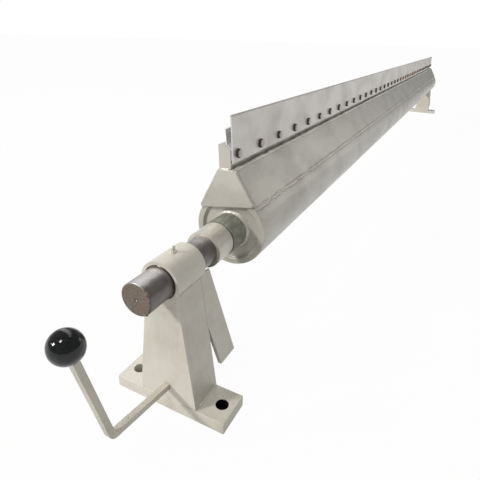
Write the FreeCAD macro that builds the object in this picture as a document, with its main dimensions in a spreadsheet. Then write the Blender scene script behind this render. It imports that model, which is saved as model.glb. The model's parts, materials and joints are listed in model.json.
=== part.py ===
"""Doctor blade beam on two pedestals: a swinging tube beam that clamps a long scraper blade.

The beam is a heavy tube with a welded A-shaped box on top. The box carries an upright bar, and a row
of bolts clamps the blade and its backing strip to the bar. Stub shafts at both ends turn in bushed
sleeves on two equal pedestals. A bent hand lever with a ball knob pivots in the near pedestal.

Frame: millimetres, +Z up, +Y along the shaft from the near pedestal to the far one, +X to the blade
side. The origin is the centre of the near base plate's underside.
"""
import FreeCAD, Part
import math
import os
import re
import Sketcher

doc = FreeCAD.newDocument("DoctorBeam")

# ---------------------------------------------------------------- driving sizes, in mm and degrees
SIZES = (
    ("base_width", 248, "base plate across the beam"),
    ("base_depth", 77, "base plate along the beam"),
    ("base_thickness", 26, "base plate"),
    ("bolt_hole_spacing", 198, "between the two holding-down holes"),
    ("bolt_hole_diameter", 25, "holding-down hole"),
    ("axis_height", 289, "shaft axis above the floor"),
    ("front_thickness", 10, "pedestal front plate"),
    ("front_setback", 1, "front plate behind the base plate's front edge"),
    ("foot_half_width", 64, "half width of the pedestal where it meets the base plate"),
    ("neck_half_width", 32.8, "half width of the pedestal just under the sleeve"),
    ("neck_drop", 22.5, "where the neck width is taken, below the shaft axis"),
    ("side_thickness", 8, "pedestal side plate and rear brace"),
    ("side_top_drop", 16, "top edge of the side plates, below the shaft axis"),
    ("brace_top_reach", 27, "rear brace beyond the base plate, at its top"),
    ("brace_foot_gap", 26, "from the base plate's rear edge to the brace foot"),
    ("brace_foot_width", 55, "rear brace foot along the beam"),
    ("brace_foot_height", 57, "brace foot above the floor"),
    ("slit_height", 162, "top of the slit between side plate and brace, above the floor"),
    ("brace_shaft_gap", 3, "round cut in the rear braces, clear of the shaft"),
    ("sleeve_diameter", 76, "bearing sleeve, outside"),
    ("sleeve_length", 82, "bearing sleeve"),
    ("bush_wall", 2, "bronze bush"),
    ("bush_recess", 4, "bush end inside the sleeve's face"),
    ("running_clearance", 0.05, "radial gap between a turning pin and its bush or hole"),
    ("grease_hole_diameter", 4, "through the bush"),
    ("nipple_thread", 8, "grease nipple thread diameter"),
    ("nipple_hex", 9, "grease nipple across flats"),
    ("nipple_hex_height", 5, "grease nipple hexagon"),
    ("nipple_stem_gap", 1, "grease nipple stem short of the bush"),
    ("nipple_neck_foot", 7.2, "grease nipple neck diameter on its hexagon"),
    ("nipple_neck_top", 4.6, "grease nipple neck diameter under its head"),
    ("nipple_head_radius", 3.3, "grease nipple ball head"),
    ("nipple_head_height", 7, "grease nipple head above its hexagon"),
    ("journal_diameter", 60, "stub shaft in the bush"),
    ("drive_relief", 1, "free end of a stub shaft under the journal, on the diameter"),
    ("near_drive_length", 59, "free shaft end beyond the near sleeve"),
    ("far_drive_length", 40, "free shaft end beyond the far sleeve"),
    ("drive_inset", 2, "how far the free end's diameter runs into the sleeve"),
    ("shaft_chamfer", 1.5, "at the shaft's free end"),
    ("centre_hole_radius", 3, "lathe centre in the shaft end"),
    ("centre_hole_depth", 6, "lathe centre in the shaft end"),
    ("hub_diameter", 76, "thick part of a stub shaft, held by the discs"),
    ("near_hub_length", 50, "near hub outside the tube's end"),
    ("far_hub_length", 8, "far hub outside the tube's end"),
    ("collar_diameter", 74, "thrust collar, outside"),
    ("near_collar_length", 51, "near thrust collar"),
    ("far_collar_length", 30, "far thrust collar"),
    ("collar_gap", 4, "groove between a collar and its hub"),
    ("collar_slip", 0.05, "radial gap between collar and journal"),
    ("screw_diameter", 8, "collar set screw"),
    ("screw_length", 6, "collar set screw"),
    ("screw_socket", 4, "set screw socket across flats"),
    ("screw_socket_depth", 3.5, "set screw socket"),
    ("near_reach", 157, "from the near sleeve's inner face to the tube's end"),
    ("far_reach", 44, "from the tube's end to the far sleeve's face"),
    ("tube_length", 4000, "beam tube"),
    ("tube_diameter", 159, "beam tube, outside"),
    ("tube_wall", 14, "beam tube"),
    ("disc_thickness", 12, "end disc and inner disc"),
    ("disc_recess", 6, "end disc inside the tube's end"),
    ("inner_disc_depth", 150, "inner disc inside the tube's end"),
    ("beam_lean", 3.7, "the box leans back from upright, in degrees"),
    ("box_offset", 1.2, "middle of the box behind the tube's axis"),
    ("box_top_height", 130, "top of the box above the tube's axis"),
    ("box_top_half_width", 17.2, "half width of the box at its top"),
    ("box_foot_height", 48, "lower edge of the box sides above the tube's axis"),
    ("box_slant", 29.4, "box side from upright, in degrees"),
    ("box_side_thickness", 10, "box side plate"),
    ("cover_thickness", 5, "box end cover"),
    ("cover_foot_height", 52, "middle of the cover's lower edge above the tube's axis"),
    ("cover_skew", 6, "tilt of the cover's lower edge, in degrees"),
    ("cover_corner", 10, "height of the cover's cut corner, at the back of its top"),
    ("cover_corner_width", 2.4, "how far the cut corner reaches in at the top"),
    ("bar_width", 26, "upright bar"),
    ("bar_height", 48.5, "upright bar"),
    ("bar_setback", 3.8, "middle of the bar behind the middle of the box"),
    ("bar_chamfer", 10, "long chamfer on the bar's top edge, blade side"),
    ("strip_thickness", 1.5, "backing strip"),
    ("strip_foot", 16, "lower edge of the backing strip above the box"),
    ("strip_rise", 31, "backing strip above the bar"),
    ("strip_lean", 3, "free part of the backing strip, back from the bar's face, in degrees"),
    ("strip_lip", 4, "turned tip of the backing strip"),
    ("blade_thickness", 3, "blade"),
    ("blade_width", 92, "blade, upright"),
    ("blade_foot", 12, "lower edge of the blade above the box"),
    ("blade_inset", 3, "blade and strip ends inside the tube's ends"),
    ("clamp_bolt_count", 39, "bolts along the blade"),
    ("clamp_bolt_edge", 24, "first and last bolt from the tube's ends"),
    ("clamp_bolt_height", 28.5, "bolt row above the box"),
    ("clamp_bolt_thread", 10, "clamp bolt"),
    ("clamp_bolt_length", 30, "clamp bolt under its head"),
    ("clamp_bolt_flats", 17, "clamp bolt head across flats"),
    ("clamp_bolt_head", 6.4, "clamp bolt head height"),
    ("clamp_hole_slack", 1, "clearance of the holes in blade and strip, on the diameter"),
    ("lever_height", 59, "lever pivot above the floor"),
    ("lever_gap", 0.3, "between the lever, or its washer, and the front plate"),
    ("lever_section", 12, "square lever bar"),
    ("lever_reach", 145, "from the front plate to the lever's bend"),
    ("lever_rise", 22, "rise of the lever's outward leg"),
    ("lever_bend_radius", 14, "middle line of the lever's bend"),
    ("grip_reach", 47, "outward travel of the lever's upper leg, to the knob's centre"),
    ("grip_rise", 216, "rise of the lever's upper leg, to the knob's centre"),
    ("pivot_diameter", 10, "lever pivot pin"),
    ("washer_diameter", 24, "lever washer"),
    ("washer_thickness", 2.5, "lever washer"),
    ("nut_flats", 17, "lever nut across flats"),
    ("nut_height", 8, "lever nut"),
    ("pivot_tail", 2, "pivot pin beyond its nut"),
    ("knob_diameter", 50, "ball knob"),
    ("knob_flat", 3, "depth of the knob's flat seat"),
    ("spigot_diameter", 10, "threaded end of the lever in the knob"),
    ("spigot_length", 22, "threaded end of the lever in the knob"),
    ("spigot_spare", 2, "knob hole deeper than the threaded end"),
    ("spigot_clearance", 0.05, "radial gap between the threaded end and the knob"),
)

sheet = doc.addObject("Spreadsheet::Sheet", "Sizes")
for row, (alias, number, note) in enumerate(SIZES, start=1):
    sheet.set(f"A{row}", note)
    sheet.set(f"B{row}", str(number))
    sheet.setAlias(f"B{row}", alias)
doc.recompute()


# ---------------------------------------------------------------- helpers
def cells(text):
    """An expression in which every word with an underscore is a cell of the sheet."""
    return re.sub(r"[a-z]+(?:_[a-z]+)+", lambda word: "Sizes." + word.group(), str(text))


def value(text):
    """The number that an expression gives now."""
    result = sheet.evalExpression(cells(text))
    return float(getattr(result, "Value", result))


def bind(item, **sizes):
    """Ties properties to expressions; a double underscore stands for a dot."""
    for name, text in sizes.items():
        item.setExpression(name.replace("__", "."), cells(text))
    return item


def placed(item, x="0", y="0", z="0", axis=(0, 0, 1), angle="0"):
    """Ties an item's Placement to a position and a turn about an axis."""
    turn = "create(<<rotation>>; create(<<vector>>; {}; {}; {}); {})".format(*axis, angle)
    move = f"create(<<vector>>; {x}; {y}; {z})"
    return bind(item, Placement=f"create(<<placement>>; {move}; {turn})")


def new_body(name):
    body = doc.addObject("PartDesign::Body", name)
    body.Label = name
    return body


def sketch_on(body, plane):
    sketch = body.newObject("Sketcher::SketchObject", body.Name + "_sketch")
    support = next(item for item in body.Origin.OriginFeatures if item.Role == plane)
    sketch.AttachmentSupport = (support, "")
    sketch.MapMode = "FlatFace"
    return sketch


def pin_point(sketch, curve, end, u, v):
    """Ties one point of a sketch to two expressions, measured from the sketch's origin."""
    for kind, text in (("DistanceX", u), ("DistanceY", v)):
        index = sketch.addConstraint(Sketcher.Constraint(kind, -1, 1, curve, end, value(text)))
        sketch.setExpression(f"Constraints[{index}]", cells(text))


def outline(body, plane, corners):
    """A closed outline of straight edges through corners, each a pair of expressions."""
    sketch = sketch_on(body, plane)
    points = [FreeCAD.Vector(value(u), value(v), 0) for u, v in corners]
    for start, stop in zip(points, points[1:] + points[:1]):
        sketch.addGeometry(Part.LineSegment(start, stop), False)
    for index, (u, v) in enumerate(corners):
        after = (index + 1) % len(corners)
        sketch.addConstraint(Sketcher.Constraint("Coincident", index, 2, after, 1))
        pin_point(sketch, index, 1, u, v)
    return sketch


def pad(body, sketch, length, backwards=False):
    feature = body.newObject("PartDesign::Pad", body.Name + "_pad")
    feature.Profile = sketch
    feature.Reversed = backwards
    bind(feature, Length=length)
    return feature


def prism_along_y(name, corners, length):
    """A body with a section in X and Z, running from Y = 0 to length."""
    body = new_body(name)
    pad(body, outline(body, "XZ_Plane", corners), length, backwards=True)
    return body


def turned(name, corners):
    """A lathe-turned body about the Y axis, from (distance along Y, radius) corners."""
    body = new_body(name)
    sketch = outline(body, "YZ_Plane", corners)
    feature = body.newObject("PartDesign::Revolution", name + "_turn")
    feature.Profile = sketch
    feature.ReferenceAxis = (sketch, ["H_Axis"])
    feature.Angle = 360
    return body


def drill(body, plane, centres, diameter, along_normal=True, both_ways=False):
    """Round holes through everything on one side of an origin plane, or on both."""
    doc.recompute()
    before = body.Shape.Volume
    sketch = sketch_on(body, plane)
    for index, (u, v) in enumerate(centres):
        middle = FreeCAD.Vector(value(u), value(v), 0)
        circle = Part.Circle(middle, FreeCAD.Vector(0, 0, 1), value(diameter) / 2)
        sketch.addGeometry(circle, False)
        row = sketch.addConstraint(Sketcher.Constraint("Diameter", index, value(diameter)))
        sketch.setExpression(f"Constraints[{row}]", cells(diameter))
        pin_point(sketch, index, 3, u, v)
    pocket = body.newObject("PartDesign::Pocket", body.Name + "_drill")
    pocket.Profile = sketch
    pocket.Type = "ThroughAll"
    pocket.Reversed = along_normal
    pocket.Midplane = both_ways
    doc.recompute()
    if body.Shape.Volume >= before:
        raise RuntimeError(body.Name + ": the drill cut nothing")
    return pocket


def row_of(body, feature, length, count):
    """Repeats a feature along the body's Y axis and makes the row the body's result."""
    pattern = body.newObject("PartDesign::LinearPattern", feature.Name + "_row")
    axis = next(item for item in body.Origin.OriginFeatures if item.Role == "Y_Axis")
    pattern.Originals = [feature]
    pattern.Direction = (axis, [""])
    bind(pattern, Length=length, Occurrences=count)
    body.Tip = pattern
    return pattern


def rectangle(x_low, x_high, z_low, z_high):
    return [(x_low, z_low), (x_high, z_low), (x_high, z_high), (x_low, z_high)]


def cylinder_along_y(name, radius, length, y="0"):
    """A round cutter about the shaft axis, from y onwards."""
    item = doc.addObject("Part::Cylinder", name)
    bind(item, Radius=radius, Height=length)
    placed(item, y=y, z="axis_height", axis=(-1, 0, 0), angle="90")
    return item


def combined(kind, name, base, tool):
    item = doc.addObject(kind, name)
    item.Label = name
    item.Base = base
    item.Tool = tool
    return item


def hexagon(flats, height):
    """A plain hexagonal prism about Z, standing on Z = 0."""
    radius = flats / math.sqrt(3)
    corners = []
    for step in range(7):
        turn = math.radians(60 * step)
        corners.append(FreeCAD.Vector(radius * math.cos(turn), radius * math.sin(turn), 0))
    return Part.Face(Part.makePolygon(corners)).extrude(FreeCAD.Vector(0, 0, height))


def solid_feature(name, shape, placement):
    item = doc.addObject("Part::Feature", name)
    item.Label = name
    item.Shape = shape
    item.Placement = placement
    return item


# ---------------------------------------------------------------- places worked out from the sizes
SLEEVE_FRONT = "(-base_depth / 2)"
SLEEVE_BACK = "(sleeve_length - base_depth / 2)"
TUBE_START = f"({SLEEVE_BACK} + near_reach)"
TUBE_END = f"({TUBE_START} + tube_length)"
FAR_PEDESTAL = f"({TUBE_END} + far_reach + base_depth / 2)"
PLATE_TILT = "((foot_half_width - neck_half_width) / (axis_height - neck_drop - base_thickness))"
PLATE_SPREAD = f"(side_thickness * sqrt(1 + {PLATE_TILT} ^ 2))"
BUSH_BORE = "(journal_diameter / 2 + running_clearance)"
SLEEVE_BORE = f"({BUSH_BORE} + bush_wall)"
DRIVE_RADIUS = "((journal_diameter - drive_relief) / 2)"
TUBE_BORE = "(tube_diameter / 2 - tube_wall)"
nodes = []


def pedestal_half_width(height):
    """Outer half width of a pedestal at a height above the floor."""
    return f"(foot_half_width - ({height} - base_thickness) * {PLATE_TILT})"


# ---------------------------------------------------------------- pedestal pieces
def base_plate(name, y):
    body = new_body(name)
    corners = rectangle("-base_width / 2", "base_width / 2", "-base_depth / 2", "base_depth / 2")
    pad(body, outline(body, "XY_Plane", corners), "base_thickness")
    centres = [("-bolt_hole_spacing / 2", "0"), ("bolt_hole_spacing / 2", "0")]
    drill(body, "XY_Plane", centres, "bolt_hole_diameter")
    return placed(body, y=y)


def seated_under_sleeve(name, blank, y):
    """Cuts the seat of the round sleeve out of a plate that stands under it."""
    seat = cylinder_along_y(name + "_seat", "sleeve_diameter / 2", "sleeve_length",
                            y=f"{y} + {SLEEVE_FRONT}")
    return combined("Part::Cut", name, blank, seat)


def front_plate(name, y, pivot_hole):
    top = "(axis_height - side_top_drop)"
    foot = "base_thickness"
    corners = [("-" + pedestal_half_width(foot), foot), (pedestal_half_width(foot), foot),
               (pedestal_half_width(top), top), ("-" + pedestal_half_width(top), top)]
    blank = prism_along_y(name + "_blank", corners, "front_thickness")
    if pivot_hole:
        centres = [("0", "lever_height")]
        drill(blank, "XZ_Plane", centres, "pivot_diameter + 2 * running_clearance", along_normal=False)
    placed(blank, y=f"{y} + {SLEEVE_FRONT} + front_setback")
    return seated_under_sleeve(name, blank, y)


def slanted_section(side, foot, top):
    """The section of a splayed side plate between two heights; side is 1 or -1."""
    outer_foot = pedestal_half_width(foot)
    outer_top = pedestal_half_width(top)
    return [(f"{side} * {outer_foot}", foot), (f"{side} * {outer_top}", top),
            (f"{side} * ({outer_top} - {PLATE_SPREAD})", top),
            (f"{side} * ({outer_foot} - {PLATE_SPREAD})", foot)]


def side_plate(name, y, side):
    section = slanted_section(side, "base_thickness", "(axis_height - side_top_drop)")
    front = f"({SLEEVE_FRONT} + front_setback + front_thickness)"
    blank = prism_along_y(name + "_blank", section, f"base_depth / 2 - {front}")
    placed(blank, y=f"{y} + {front}")
    return seated_under_sleeve(name, blank, y)


def rear_brace(name, y, side):
    """The leg that continues a side plate backwards and down behind the base plate."""
    top = "(axis_height - side_top_drop)"
    foot_end = "(brace_foot_gap + brace_foot_width)"
    section = slanted_section(side, "brace_foot_height", top)
    slab = prism_along_y(name + "_slab", section, foot_end)
    placed(slab, y=f"{y} + base_depth / 2")
    pattern = new_body(name + "_pattern")
    corners = [("0", "slit_height"), ("brace_foot_gap", "brace_foot_height"),
               (foot_end, "brace_foot_height"), ("brace_top_reach", top), ("0", top)]
    pad(pattern, outline(pattern, "YZ_Plane", corners), "2 * foot_half_width")
    placed(pattern, x="-foot_half_width", y=f"{y} + base_depth / 2")
    leg = combined("Part::Common", name + "_leg", slab, pattern)
    relief = cylinder_along_y(name + "_relief", "journal_diameter / 2 + brace_shaft_gap", foot_end,
                              y=f"{y} + base_depth / 2")
    cleared = combined("Part::Cut", name + "_cleared", leg, relief)
    return seated_under_sleeve(name, cleared, y)


def bearing_sleeve(name, y):
    corners = rectangle("0", "sleeve_length", SLEEVE_BORE, "sleeve_diameter / 2")
    body = turned(name, corners)
    drill(body, "XY_Plane", [("0", "sleeve_length / 2")], "nipple_thread")
    return placed(body, y=f"{y} + {SLEEVE_FRONT}", z="axis_height")


def bearing_bush(name, y):
    corners = rectangle("bush_recess", "sleeve_length - bush_recess", BUSH_BORE, SLEEVE_BORE)
    body = turned(name, corners)
    drill(body, "XY_Plane", [("0", "sleeve_length / 2")], "grease_hole_diameter")
    return placed(body, y=f"{y} + {SLEEVE_FRONT}", z="axis_height")


def grease_nipple(name, y):
    """Threaded stem, hexagon, tapered neck and ball head, standing on top of the sleeve."""
    stem = value(f"sleeve_diameter / 2 - {SLEEVE_BORE} - nipple_stem_gap")
    hex_height = value("nipple_hex_height")
    head = value("nipple_head_radius")
    head_height = value("nipple_head_height")
    shape = Part.makeCylinder(value("nipple_thread") / 2, stem, FreeCAD.Vector(0, 0, -stem))
    collar = hexagon(value("nipple_hex"), hex_height)
    neck = Part.makeCone(value("nipple_neck_foot") / 2, value("nipple_neck_top") / 2,
                         head_height - head, FreeCAD.Vector(0, 0, hex_height))
    ball = Part.makeSphere(head, FreeCAD.Vector(0, 0, hex_height + head_height - head))
    shape = shape.fuse([collar, neck, ball]).removeSplitter()
    middle = value(f"{y} + {SLEEVE_FRONT} + sleeve_length / 2")
    top = value("axis_height + sleeve_diameter / 2")
    return solid_feature(name, shape, FreeCAD.Placement(FreeCAD.Vector(0, middle, top),
                                                        FreeCAD.Rotation()))


for end, where in (("near", "0"), ("far", FAR_PEDESTAL)):
    nodes.append(base_plate(f"{end}_base_plate", where))
    nodes.append(front_plate(f"{end}_front_plate", where, pivot_hole=(end == "near")))
    for hand, side in (("left", "-1"), ("right", "1")):
        nodes.append(side_plate(f"{end}_side_plate_{hand}", where, side))
        nodes.append(rear_brace(f"{end}_rear_brace_{hand}", where, side))
    nodes.append(bearing_sleeve(f"{end}_bearing_sleeve", where))
    nodes.append(bearing_bush(f"{end}_bearing_bush", where))
    nodes.append(grease_nipple(f"{end}_grease_nipple", where))


# ---------------------------------------------------------------- beam: tube, discs and shafts
def on_axis(body, y, facing):
    """Places a turned piece on the shaft axis; facing is 0 for the near end, 180 for the far one."""
    return placed(body, y=y, z="axis_height", angle=facing)


def stub_shaft(name, reach, drive, hub):
    """A shaft that points to -Y from the tube's end, with its hub inside two discs."""
    sleeve_face = f"-({reach} + sleeve_length)"
    tip = f"({sleeve_face} - {drive})"
    corners = [(f"{tip} + centre_hole_depth", "0"), (tip, "centre_hole_radius"),
               (tip, f"{DRIVE_RADIUS} - shaft_chamfer"),
               (f"{tip} + shaft_chamfer", DRIVE_RADIUS),
               (f"{sleeve_face} + drive_inset", DRIVE_RADIUS),
               (f"{sleeve_face} + drive_inset", "journal_diameter / 2"),
               (f"-{hub}", "journal_diameter / 2"), (f"-{hub}", "hub_diameter / 2"),
               ("inner_disc_depth + disc_thickness", "hub_diameter / 2"),
               ("inner_disc_depth + disc_thickness", "0")]
    return turned(name, corners)


def thrust_collar(name, hub, length):
    inner_end = f"-({hub} + collar_gap)"
    corners = rectangle(f"{inner_end} - {length}", inner_end,
                        "journal_diameter / 2 + collar_slip", "collar_diameter / 2")
    body = turned(name, corners)
    middle = f"{inner_end} - {length} / 2"
    drill(body, "XY_Plane", [("0", middle)], "screw_diameter", along_normal=False)
    return body


def set_screw(name, y):
    """A socket set screw that stands in the collar's underside."""
    length = value("screw_length")
    shape = Part.makeCylinder(value("screw_diameter") / 2, length)
    socket = hexagon(value("screw_socket"), value("screw_socket_depth"))
    shape = shape.cut(socket)
    depth = value("axis_height - journal_diameter / 2") - length
    return solid_feature(name, shape, FreeCAD.Placement(FreeCAD.Vector(0, y, depth), FreeCAD.Rotation()))


def end_group(end, start, facing, reach, drive, hub, length):
    """Shaft, collar, screw and both discs at one end of the tube."""
    shaft = stub_shaft(f"{end}_stub_shaft", reach, drive, hub)
    collar = thrust_collar(f"{end}_thrust_collar", hub, length)
    disc = turned(f"{end}_end_disc", rectangle("disc_recess", "disc_recess + disc_thickness",
                                               "hub_diameter / 2", TUBE_BORE))
    inner = turned(f"{end}_inner_disc", rectangle("inner_disc_depth", "inner_disc_depth + disc_thickness",
                                                  "hub_diameter / 2", TUBE_BORE))
    for body in (shaft, collar, disc, inner):
        nodes.append(on_axis(body, start, facing))
    outward = -1 if facing == "0" else 1
    middle = value(start) + outward * value(f"{hub} + collar_gap + {length} / 2")
    nodes.append(set_screw(f"{end}_collar_screw", middle))


end_group("near", TUBE_START, "0", "near_reach", "near_drive_length",
          "near_hub_length", "near_collar_length")
end_group("far", TUBE_END, "180", "far_reach", "far_drive_length",
          "far_hub_length", "far_collar_length")

tube = turned("beam_tube", rectangle("0", "tube_length", TUBE_BORE, "tube_diameter / 2"))
nodes.append(placed(tube, y=TUBE_START, z="axis_height"))


# ---------------------------------------------------------------- beam: box, bar, strip and blade
def on_beam(body, along="0"):
    """Places a piece in the leaning frame of the beam, whose origin is the tube's near end."""
    return placed(body, y=f"{TUBE_START} + {along}", z="axis_height",
                  axis=(0, -1, 0), angle="beam_lean")


def box_half_width(height):
    return f"(box_top_half_width + (box_top_height - {height}) * tan(box_slant))"


def box_side(name, side):
    """A slanted side plate of the box, cut to the round of the tube."""
    spread = "box_side_thickness / cos(box_slant)"
    top = "box_top_height"
    foot = "box_foot_height"
    section = [(f"{side} * {box_half_width(foot)} - box_offset", foot),
               (f"{side} * {box_half_width(top)} - box_offset", top),
               (f"{side} * ({box_half_width(top)} - {spread}) - box_offset", top),
               (f"{side} * ({box_half_width(foot)} - {spread}) - box_offset", foot)]
    blank = on_beam(prism_along_y(name + "_blank", section, "tube_length"))
    seat = cylinder_along_y(name + "_seat", "tube_diameter / 2", "tube_length", y=TUBE_START)
    return combined("Part::Cut", name, blank, seat)


def box_cover(name, along):
    """The end plate of the box; its lower edge is cut a little askew across the tube's end."""
    tilt = f"({box_half_width('cover_foot_height')} * tan(cover_skew))"
    high = f"(cover_foot_height + {tilt})"
    low = f"(cover_foot_height - {tilt})"
    shoulder = "(box_top_height - cover_corner)"
    top = "(box_top_half_width - cover_corner_width)"
    section = [(f"{box_half_width(high)} - box_offset", high),
               ("box_top_half_width - box_offset", "box_top_height"),
               (f"-{top} - box_offset", "box_top_height"),
               (f"-{box_half_width(shoulder)} - box_offset", shoulder),
               (f"-{box_half_width(low)} - box_offset", low)]
    return on_beam(prism_along_y(name, section, "cover_thickness"), along)


BAR_FACE = "(bar_width / 2 - bar_setback - box_offset)"
BAR_TOP = "(box_top_height + bar_height)"
BOLT_ROW = "(box_top_height + clamp_bolt_height)"
ROW_LENGTH = "(tube_length - 2 * clamp_bolt_edge)"


def bolt_holes(body, start, diameter):
    centre = (f"clamp_bolt_edge - {start}", BOLT_ROW)
    hole = drill(body, "YZ_Plane", [centre], diameter, both_ways=True)
    row_of(body, hole, ROW_LENGTH, "clamp_bolt_count")


def blade_bar():
    back = f"({BAR_FACE} - bar_width)"
    section = [(back, "box_top_height"), (BAR_FACE, "box_top_height"),
               (BAR_FACE, f"{BAR_TOP} - bar_chamfer"), (f"{BAR_FACE} - bar_chamfer", BAR_TOP),
               (back, BAR_TOP)]
    body = prism_along_y("blade_bar", section, "tube_length")
    bolt_holes(body, "0", "clamp_bolt_thread")
    return on_beam(body)


def backing_strip():
    """Thin bent strip behind the blade: clamped part, bend over the bar's chamfer, free part, lip."""
    back = BAR_FACE
    front = f"({BAR_FACE} + strip_thickness)"
    foot = "(box_top_height + strip_foot)"
    knee = f"({BAR_TOP} - bar_chamfer)"
    top = f"({BAR_TOP} + strip_rise)"
    drift = "(strip_rise * tan(strip_lean))"
    mitre = "(strip_thickness * tan(22.5))"
    section = [(back, foot), (front, foot), (front, f"{knee} + {mitre}"),
               (f"{front} - bar_chamfer", f"{BAR_TOP} + {mitre}"),
               (f"{front} - bar_chamfer - {drift}", f"{top} - strip_thickness"),
               (f"{front} - bar_chamfer - {drift} + strip_lip", f"{top} - strip_thickness"),
               (f"{front} - bar_chamfer - {drift} + strip_lip", top),
               (f"{back} - bar_chamfer - {drift}", top),
               (f"{back} - bar_chamfer", BAR_TOP), (back, knee)]
    body = prism_along_y("backing_strip", section, "tube_length - 2 * blade_inset")
    bolt_holes(body, "blade_inset", "clamp_bolt_thread + clamp_hole_slack")
    return on_beam(body, "blade_inset")


def blade():
    inner = f"({BAR_FACE} + strip_thickness)"
    foot = "(box_top_height + blade_foot)"
    section = rectangle(inner, f"{inner} + blade_thickness", foot, f"{foot} + blade_width")
    body = prism_along_y("blade", section, "tube_length - 2 * blade_inset")
    bolt_holes(body, "blade_inset", "clamp_bolt_thread + clamp_hole_slack")
    return on_beam(body, "blade_inset")


def clamp_bolts(name):
    """One row of equal hexagon bolts, head on the blade and thread in the bar."""
    bolt = Part.makeCylinder(value("clamp_bolt_thread") / 2, value("clamp_bolt_length"),
                             FreeCAD.Vector(0, 0, -value("clamp_bolt_length")))
    bolt = bolt.fuse(hexagon(value("clamp_bolt_flats"), value("clamp_bolt_head"))).removeSplitter()
    bolt.rotate(FreeCAD.Vector(), FreeCAD.Vector(0, 1, 0), 90)
    face = value(f"{BAR_FACE} + strip_thickness + blade_thickness")
    count = int(value("clamp_bolt_count"))
    row = []
    for step in range(count):
        along = value("clamp_bolt_edge") + step * value(ROW_LENGTH) / (count - 1)
        row.append(bolt.translated(FreeCAD.Vector(face, along, value(BOLT_ROW))))
    lean = FreeCAD.Rotation(FreeCAD.Vector(0, -1, 0), value("beam_lean"))
    start = FreeCAD.Vector(0, value(TUBE_START), value("axis_height"))
    return solid_feature(name, Part.makeCompound(row), FreeCAD.Placement(start, lean))


nodes.append(box_side("box_side_left", "-1"))
nodes.append(box_side("box_side_right", "1"))
nodes.append(box_cover("near_box_cover", "(-cover_thickness)"))
nodes.append(box_cover("far_box_cover", "tube_length"))
nodes.append(blade_bar())
nodes.append(backing_strip())
nodes.append(blade())
nodes.append(clamp_bolts("clamp_bolts"))


# ---------------------------------------------------------------- hand lever
PIVOT_FACE = f"({SLEEVE_FRONT} + front_setback)"


def lever_line():
    """The lever's middle line, leg, bend, leg, a little past the knob's seat, in its own frame."""
    root = FreeCAD.Vector(0, -value("lever_gap"), 0)
    bend = FreeCAD.Vector(0, -value("lever_reach"), value("lever_rise"))
    centre = bend + FreeCAD.Vector(0, -value("grip_reach"), value("grip_rise"))
    outward = (bend - root).normalize()
    upward = (centre - bend).normalize()
    seat = centre - upward * (value("knob_diameter") / 2 - value("knob_flat"))
    turn = outward.getAngle(upward)
    radius = value("lever_bend_radius")
    trim = radius * math.tan(turn / 2)
    first = bend - outward * trim
    last = bend + upward * trim
    inside = (upward - outward).normalize()
    middle = bend + inside * (radius / math.cos(turn / 2) - radius)
    stock = seat + upward * value("lever_section")
    edges = [Part.makeLine(root, first), Part.Arc(first, middle, last).toShape(),
             Part.makeLine(last, stock)]
    return Part.Wire(edges), seat, upward, centre


def lever_bar(name):
    """Square bar swept along the lever's line, with a pivot pin and a threaded end for the knob."""
    path, seat, upward, _ = lever_line()
    half = value("lever_section") / 2
    root = path.OrderedVertexes[0].Point
    corners = [FreeCAD.Vector(x, root.y, z) for x, z in
               ((-half, -half), (half, -half), (half, half), (-half, half), (-half, -half))]
    bar = path.makePipeShell([Part.makePolygon(corners)], True, False)
    trim = Part.makeCylinder(value("lever_section"), 2 * value("lever_section"), seat, upward)
    bar = bar.cut(trim)
    pin_length = value("2 * lever_gap + front_thickness + washer_thickness + nut_height + pivot_tail")
    pin = Part.makeCylinder(value("pivot_diameter") / 2, pin_length, root, FreeCAD.Vector(0, 1, 0))
    spigot = Part.makeCylinder(value("spigot_diameter") / 2, value("spigot_length"), seat, upward)
    shape = bar.fuse([pin, spigot]).removeSplitter()
    return solid_feature(name, shape, lever_placement())


def lever_placement():
    return FreeCAD.Placement(FreeCAD.Vector(0, value(PIVOT_FACE), value("lever_height")),
                             FreeCAD.Rotation())


def ball_knob(name):
    """A ball with a flat seat and a blind hole for the lever's threaded end."""
    _, seat, upward, centre = lever_line()
    ball = Part.makeSphere(value("knob_diameter") / 2, centre)
    cutter = Part.makeCylinder(value("knob_diameter"), value("knob_diameter"), seat, -upward)
    depth = value("spigot_length + spigot_spare")
    hole = Part.makeCylinder(value("spigot_diameter / 2 + spigot_clearance"), depth, seat, upward)
    return solid_feature(name, ball.cut([cutter, hole]), lever_placement())


def lever_washer(name):
    inner = "pivot_diameter / 2"
    body = turned(name, rectangle("0", "washer_thickness", inner, "washer_diameter / 2"))
    return placed(body, y=f"{PIVOT_FACE} + front_thickness + lever_gap", z="lever_height")


def lever_nut(name):
    shape = hexagon(value("nut_flats"), value("nut_height"))
    shape = shape.cut(Part.makeCylinder(value("pivot_diameter") / 2, value("nut_height")))
    start = value(f"{PIVOT_FACE} + front_thickness + lever_gap + washer_thickness")
    turn = FreeCAD.Rotation(FreeCAD.Vector(-1, 0, 0), 90)
    place = FreeCAD.Placement(FreeCAD.Vector(0, start, value("lever_height")), turn)
    return solid_feature(name, shape, place)


nodes.append(lever_bar("lever_bar"))
nodes.append(ball_knob("lever_knob"))
nodes.append(lever_washer("lever_washer"))
nodes.append(lever_nut("lever_nut"))


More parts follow.
